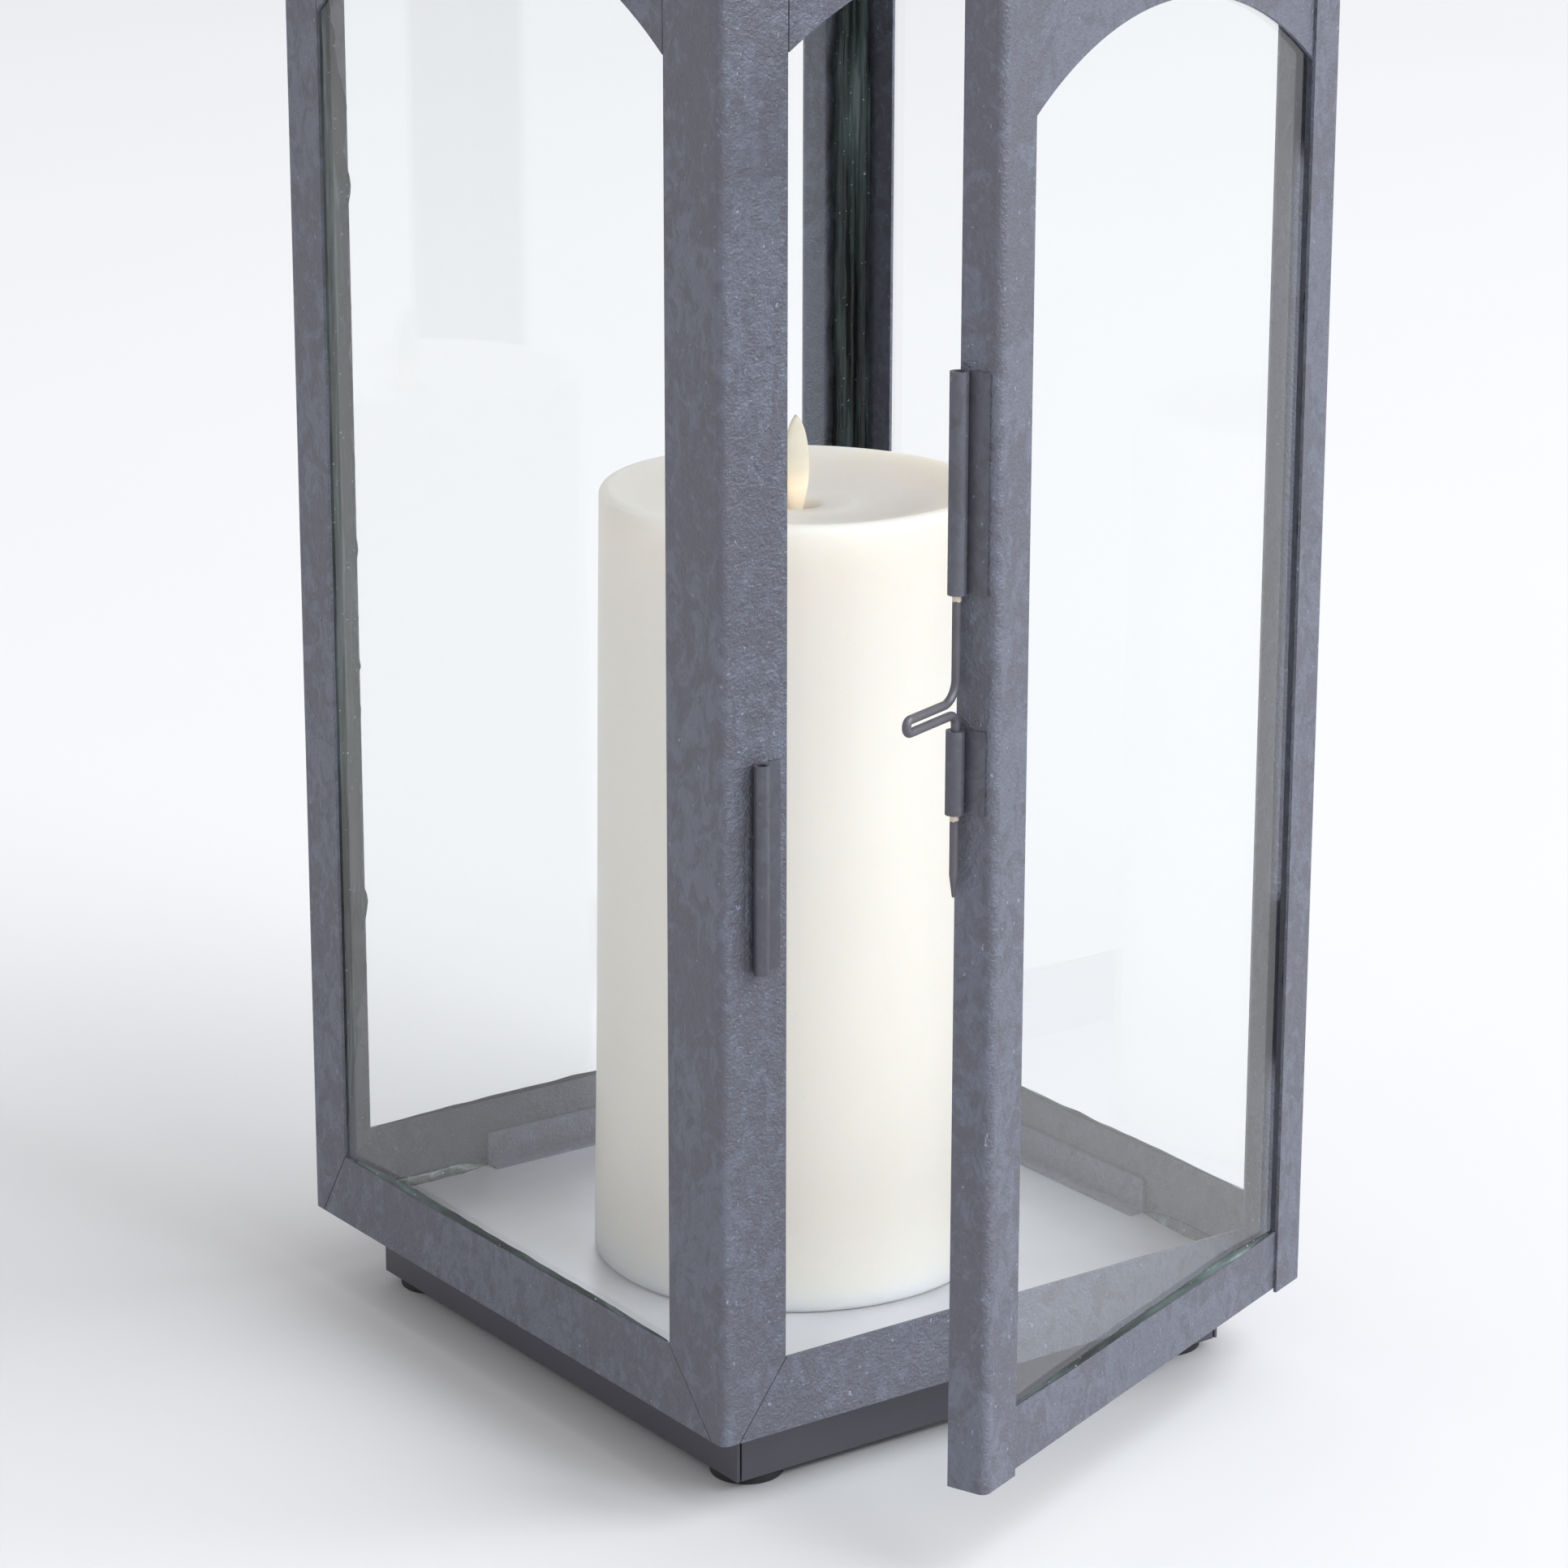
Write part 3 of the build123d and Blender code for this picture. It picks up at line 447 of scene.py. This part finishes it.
def wax_candle():
    """The wax: tapered, rounded at foot and rim, its melted top hollowed in soft waves."""
    steps = 160
    rim = 2.2 * MM
    foot = 1.6 * MM
    profile = [(BORE_RADIUS, WAX_BASE), (WAX_RADIUS - foot, WAX_BASE)]
    for turn in range(1, 7):
        angle = math.radians(-90 + 15 * turn)
        radius = WAX_RADIUS - foot + foot * math.cos(angle)
        profile.append((radius, WAX_BASE + foot + foot * math.sin(angle)))
    for share in (0.08, 0.2, 0.35, 0.5, 0.65, 0.8, 0.9, 0.96):
        height = WAX_BASE + foot + share * (WAX_TOP - rim - WAX_BASE - foot)
        profile.append((WAX_RADIUS + share * (WAX_TOP_RADIUS - WAX_RADIUS), height))
    for turn in range(0, 9):
        angle = math.radians(turn * 15)
        profile.append((WAX_TOP_RADIUS - rim + rim * math.cos(angle), WAX_TOP - rim + rim * math.sin(angle)))
    dish_rings = 26
    lip_height, lip_radius, lip_width = 0.7 * MM, 13 * MM, 2.4 * MM
    dish_start = WAX_TOP_RADIUS - rim + rim * math.cos(math.radians(120))
    start_height = WAX_TOP - rim + rim * math.sin(math.radians(120))
    first_dish = len(profile)
    for ring in range(1, dish_rings + 1):
        share = ring / dish_rings
        radius = dish_start + share * (WELL_RADIUS - dish_start)
        fall = 1 - (1 - share) ** 2.3
        lip = lip_height * math.exp(-(((radius - lip_radius) / lip_width) ** 2))
        profile.append((radius, start_height - fall * (start_height - DISH_FLOOR) + lip))
    last_dish = len(profile)
    profile += [
        (WELL_RADIUS - 0.4 * MM, DISH_FLOOR - 0.8 * MM),
        (WELL_RADIUS, CORE_ROOF),
        (BORE_RADIUS, CORE_ROOF),
    ]

    points = []
    for index, (radius, height) in enumerate(profile):
        for step in range(steps):
            angle = 2 * math.pi * step / steps
            x, y = math.cos(angle), math.sin(angle)
            push, lift = 0.0, 0.0
            if 1 < index < first_dish:
                push = 0.35 * MM * noise.noise(Vector((x * 1.1, y * 1.1, height * 14)))
                if height > WAX_TOP - rim:
                    lift = rim_wave(x, y)
            elif first_dish <= index < last_dish:
                deep = (index - first_dish) / dish_rings
                swell = noise.noise(Vector((x * radius * 45, y * radius * 45, 2.0)))
                lift = 0.9 * MM * swell * math.sin(math.pi * min(1, deep * 1.1))
                lift += (1 - deep) * rim_wave(x, y)
            reach = min(radius + push, WAX_RADIUS)
            points.append((reach * x, reach * y, min(height + lift, WAX_TOP)))
    faces = ring_faces(len(profile), steps, closed_low=False, closed_high=False)
    top = (len(profile) - 1) * steps
    for step in range(steps):
        following = (step + 1) % steps
        faces.append((top + step, top + following, following, step))
    return mesh_piece("wax_body", points, faces, ivory, "candle", replaces=["candle_wax"])


def flame():
    """The flame: a rounded tongue, flatter front to back, over a narrow tail that hangs in the well."""
    steps = 32
    low, high = flame_low, flame_high
    belly_height = DISH_FLOOR + 8.5 * MM
    neck_height = DISH_FLOOR - 3.5 * MM
    half_width = (high.x - low.x) / 2
    half_depth = (high.y - low.y) / 2
    tail_half_width = 1.5 * MM
    rings = []
    for height in (low.z, low.z + 1 * MM, neck_height - 3 * MM):
        rings.append((height, tail_half_width, half_depth * 0.8))
    for step in range(0, 25):
        share = step / 24
        height = neck_height + share * (high.z - neck_height)
        if height < belly_height:
            grow = (height - neck_height) / (belly_height - neck_height)
            width = tail_half_width + (half_width - tail_half_width) * math.sin(grow * math.pi / 2)
        else:
            fall = (height - belly_height) / (high.z - belly_height)
            width = half_width * max(0.0, 1 - fall**2.1) ** 0.66
        rings.append((height, width, half_depth * min(1.0, 0.35 + width / half_width * 0.65)))
    points = []
    for height, width, depth in rings:
        slim = 0.25 * MM * math.sin((height - low.z) / (high.z - low.z) * math.pi)
        for step in range(steps):
            angle = 2 * math.pi * step / steps
            points.append(((width - slim * 0.5) * math.cos(angle), depth * math.sin(angle), height))
    faces = ring_faces(len(rings), steps)
    shell = flame_shell(DISH_FLOOR, high.z)
    name = "flame_tongue_shell"
    return mesh_piece(name, points, faces, shell, "flame", replaces=["flame_tongue"])


wax_candle()
flame()


# --- silicone ------------------------------------------------------------------------------


def bead(name, path, across, up, size, body, seed, wander=0.35, hollow=0.22, grow=1.0, finish=silicone):
    """An irregular bead along a straight path, in the corner between directions across and up.

    Its size is one leg length or two, wander is how much they vary, hollow is how far its face sags,
    and grow is how much larger it is at the end of the path.
    """
    start, end = Vector(path[0]), Vector(path[1])
    wide, tall = size if isinstance(size, tuple) else (size, size)
    length = (end - start).length
    across, up = Vector(across), Vector(up)
    cuts = max(6, int(length / (2.2 * MM)))
    arc = 7
    points = []
    for cut in range(cuts + 1):
        share = cut / cuts
        taper = min(1.0, 4 * share + 0.3, 4 * (1 - share) + 0.3)
        spot = start + share * (end - start)
        swell = 1 + wander * noise.noise(Vector((share * length * 95, seed, 0)))
        swell += wander * 0.6 * noise.noise(Vector((share * length * 330, seed, 7)))
        taper *= 1 + (grow - 1) * share
        leg_a = wide * swell * taper
        leg_b = tall * taper * (1 + wander * noise.noise(Vector((share * length * 120, seed, 3))))
        points.append(tuple(spot))
        for step in range(arc):
            angle = math.pi / 2 * step / (arc - 1)
            sag = 1 - hollow * math.sin(2 * angle)
            reach = across * leg_a * math.cos(angle) * sag
            points.append(tuple(spot + reach + up * leg_b * math.sin(angle) * sag))
    faces = ring_faces(cuts + 1, arc + 1)
    return mesh_piece(name, points, faces, finish, body)


def join(name, pieces, body, replaces=()):
    """Joins several new pieces into one that stands for the given CAD nodes."""
    points, faces = [], []
    material = pieces[0].data.materials[0]
    for piece in pieces:
        offset = len(points)
        points += [tuple(v.co) for v in piece.data.vertices]
        faces += [tuple(offset + i for i in p.vertices) for p in piece.data.polygons]
        bpy.data.objects.remove(piece)
    return mesh_piece(name, points, faces, material, body, replaces=replaces)


FLOOR_BEAD = 2.2 * MM
CORNER_BEAD = (4 * MM, 4 * MM)
BACK_LEFT_SMEAR = (13.5 * MM, 4 * MM)
BACK_RIGHT_SMEAR = (7 * MM, 7 * MM)


def pane_silicone():
    """Beads beside each clip on the floor, and up both inside corners of each side pane."""
    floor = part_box("floor_plate")[1].z
    for index, (side, way) in enumerate((("right", -1), ("left", 1))):
        low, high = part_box(f"{side}_glass")
        face = low.x if side == "right" else high.x
        clip_low, clip_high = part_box(f"{side}_clip")
        box_low, box_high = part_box(f"{side}_silicone")
        parts = []
        for number, (start, end) in enumerate(((box_low.y, clip_low.y), (clip_high.y, box_high.y))):
            parts.append(
                bead(
                    f"run_{side}_{number}",
                    ((face, start + 0.2 * MM, floor), (face, end - 0.2 * MM, floor)),
                    (way, 0, 0), (0, 0, 1), FLOOR_BEAD, "lantern", 11 + index * 7 + number,
                )
            )
        back_smear = BACK_LEFT_SMEAR if side == "left" else BACK_RIGHT_SMEAR
        corners = ((box_low.y, 1, CORNER_BEAD), (box_high.y, -1, back_smear))
        for number, (corner, y_way, spread) in enumerate(corners):
            parts.append(
                bead(
                    f"rise_{side}_{number}",
                    ((face, corner, floor + 2.4 * MM), (face, corner, box_high.z)),
                    (way, 0, 0), (0, y_way, 0), spread, "lantern", 31 + index * 7 + number,
                    wander=0.12, hollow=0.74,
                )
            )
        join(f"{side}_silicone_beads", parts, "lantern", replaces=[f"{side}_silicone"])
    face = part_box("back_glass")[0].y
    clip_low, clip_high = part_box("back_clip")
    box_low, box_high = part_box("back_silicone")
    parts = [
        bead(
            f"run_back_{number}",
            ((start, face, floor), (end, face, floor)),
            (0, -1, 0), (0, 0, 1), FLOOR_BEAD, "lantern", 51 + number,
        )
        for number, (start, end) in enumerate(((box_low.x, clip_low.x), (clip_high.x, box_high.x)))
    ]
    join("back_silicone_beads", parts, "lantern", replaces=["back_silicone"])


BACK_SEAL_END = 69 * MM
SIDE_SEAL_FRONT = -71 * MM
SIDE_SEAL_BACK = 74 * MM


def rail_seals():
    """Thin lines of sealant between the top of each glazed rail and its pane."""
    for index, side in enumerate(("right", "back", "left")):
        rail_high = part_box(f"{side}_rail")[1]
        glass_low, glass_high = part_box(f"{side}_glass")
        if side == "back":
            start = (-BACK_SEAL_END, glass_high.y, rail_high.z)
            end = (BACK_SEAL_END, glass_high.y, rail_high.z)
            out = (0, 1, 0)
        else:
            way = 1 if side == "right" else -1
            face = glass_high.x if side == "right" else glass_low.x
            start = (face, SIDE_SEAL_FRONT, rail_high.z)
            end = (face, SIDE_SEAL_BACK, rail_high.z)
            out = (way, 0, 0)
        bead(
            f"{side}_rail_seal", (start, end), out, (0, 0, 1), (0.55 * MM, 0.8 * MM), "lantern", 71 + index,
            0.3, grow=2.4, finish=rail_silicone,
        )


# The door stands open by this much. Its two outer edges and the back of its pane are measured from
# the hinge axis, along the door and out of it.
DOOR_TURN = math.radians(21)
DOOR_LEFT = -156.9 * MM
DOOR_RIGHT = -1.9 * MM
DOOR_PANE_BACK = -5.2 * MM
DOOR_SHEET = 0.8 * MM
DOOR_PANE = 2.5 * MM
HINGE = next(j for j in frame["joints"] if j["name"] == "door_swing")["pos_m"]


def on_door(x, y, z):
    """A place given from the hinge axis, along and out of the open door, in the frame."""
    c, s = math.cos(DOOR_TURN), math.sin(DOOR_TURN)
    return HINGE[0] + x * c - y * s, HINGE[1] + x * s + y * c, z


def door_direction(x, y):
    """A level direction given along and out of the open door, in the frame."""
    c, s = math.cos(DOOR_TURN), math.sin(DOOR_TURN)
    return x * c - y * s, x * s + y * c, 0


def door_sealant():
    """Wide wet beads behind the door's pane at both stiles, and a thin line on its rail."""
    low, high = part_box("door_silicone")
    left = DOOR_LEFT + DOOR_SHEET
    right = DOOR_RIGHT - DOOR_SHEET
    parts = []
    for number, (edge, way, wide) in enumerate(((left, 1, 12 * MM), (right, -1, 9 * MM))):
        parts.append(
            bead(
                f"door_bead_{number}",
                (on_door(edge, DOOR_PANE_BACK, low.z), on_door(edge, DOOR_PANE_BACK, high.z)),
                door_direction(way, 0), door_direction(0, 1), (wide, 4 * MM), "door", 91 + number,
                0.10, 0.72,
            )
        )
    join("door_silicone_beads", parts, "door", replaces=["door_silicone"])
    rail_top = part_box("door_rail")[1].z
    front = DOOR_PANE_BACK - DOOR_PANE
    stile = 13 * MM
    bead(
        "door_rail_seal",
        (on_door(left + stile, front, rail_top), on_door(right - stile, front, rail_top)),
        door_direction(0, -1), (0, 0, 1), (0.6 * MM, 1.1 * MM), "door", 97,
        0.2, grow=1.9, finish=rail_silicone,
    )


pane_silicone()
rail_seals()
door_sealant()


# --- latch wire ----------------------------------------------------------------------------

guide_ends = (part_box("upper_latch_guide")[0].z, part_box("lower_latch_guide")[0].z)
dress(["latch_bolt"], worn_wire("latch_wire", linear(86, 84, 90), guide_ends))

# Round wire and pins stay as the CAD made them, and only their shading becomes smooth
for name in ("latch_bolt", "handle", "hinge_pins"):
    polygons = frame["nodes"][name].data.polygons
    polygons.foreach_set("use_smooth", [True] * len(polygons))


# --- stage, light and camera ---------------------------------------------------------------


def studio_floor():
    """A pale, flat floor that reaches far past the lantern on every side."""
    g = Graph("studio_floor")
    mottle = g.noise(g.place(), 3, 2)
    g.surface(Base_Color=g.mix(mottle, (0.590, 0.586, 0.592), (0.605, 0.601, 0.607)), Roughness=0.65)
    radius, rings, steps = 60.0, 4, 64
    points = [(0, 0, 0)]
    for ring in range(1, rings + 1):
        for step in range(steps):
            angle = 2 * math.pi * step / steps
            reach = radius * ring / rings
            points.append((reach * math.cos(angle), reach * math.sin(angle), 0))
    faces = [(0, 1 + step, 1 + (step + 1) % steps) for step in range(steps)]
    for ring in range(rings - 1):
        for step in range(steps):
            following = (step + 1) % steps
            low, high = 1 + ring * steps, 1 + (ring + 1) * steps
            faces.append((low + step, high + step, high + following, low + following))
    data = bpy.data.meshes.new("studio_floor")
    data.from_pydata(points, [], faces)
    data.materials.append(g.material)
    floor = bpy.data.objects.new("studio_floor", data)
    bpy.context.collection.objects.link(floor)


def area_light(name, place, target, size, power, colour):
    light = bpy.data.lights.new(name, "AREA")
    light.shape = "RECTANGLE"
    light.size, light.size_y = size
    light.energy = power
    light.color = colour
    lamp = bpy.data.objects.new(name, light)
    lamp.location = place
    lamp.rotation_mode = "QUATERNION"
    lamp.rotation_quaternion = (Vector(target) - Vector(place)).to_track_quat("-Z", "Y")
    bpy.context.collection.objects.link(lamp)


def studio_world(strength):
    world = bpy.data.worlds.new("studio_world")
    world.use_nodes = True
    shade = world.node_tree.nodes["Background"]
    shade.inputs["Color"].default_value = (0.955, 0.955, 0.965, 1)
    shade.inputs["Strength"].default_value = strength
    bpy.context.scene.world = world


def studio_camera():
    """The photograph's viewpoint: front left of the lantern, a little above, on a long lens."""
    azimuth, pitch, roll = math.radians(-35.71), math.radians(15.02), math.radians(0.10)
    data = bpy.data.cameras.new("camera")
    data.sensor_width = 36
    data.lens = 103.4
    data.shift_y = -0.06
    data.clip_end = 100
    camera = bpy.data.objects.new("camera", data)
    camera.location = (-0.6441, -0.8911, 0.4640)
    level = math.cos(pitch)
    forward = Vector((-math.sin(azimuth) * level, math.cos(azimuth) * level, -math.sin(pitch)))
    camera.rotation_mode = "QUATERNION"
    camera.rotation_quaternion = forward.to_track_quat("-Z", "Y") @ Quaternion((0, 0, 1), roll)
    bpy.context.collection.objects.link(camera)
    bpy.context.scene.camera = camera


KEY_PLACE = (3.8, -6.2, 7.0)
KEY_TARGET = (0, 0, 0.22)
KEY_SIZE = (9.0, 9.0)
KEY_POWER = 1540
KEY_COLOUR = (0.92, 0.96, 1.0)
WORLD_STRENGTH = 0.91

studio_floor()
studio_world(WORLD_STRENGTH)
area_light("key", KEY_PLACE, KEY_TARGET, KEY_SIZE, KEY_POWER, KEY_COLOUR)
studio_camera()
bpy.context.scene.view_settings.view_transform = "Standard"
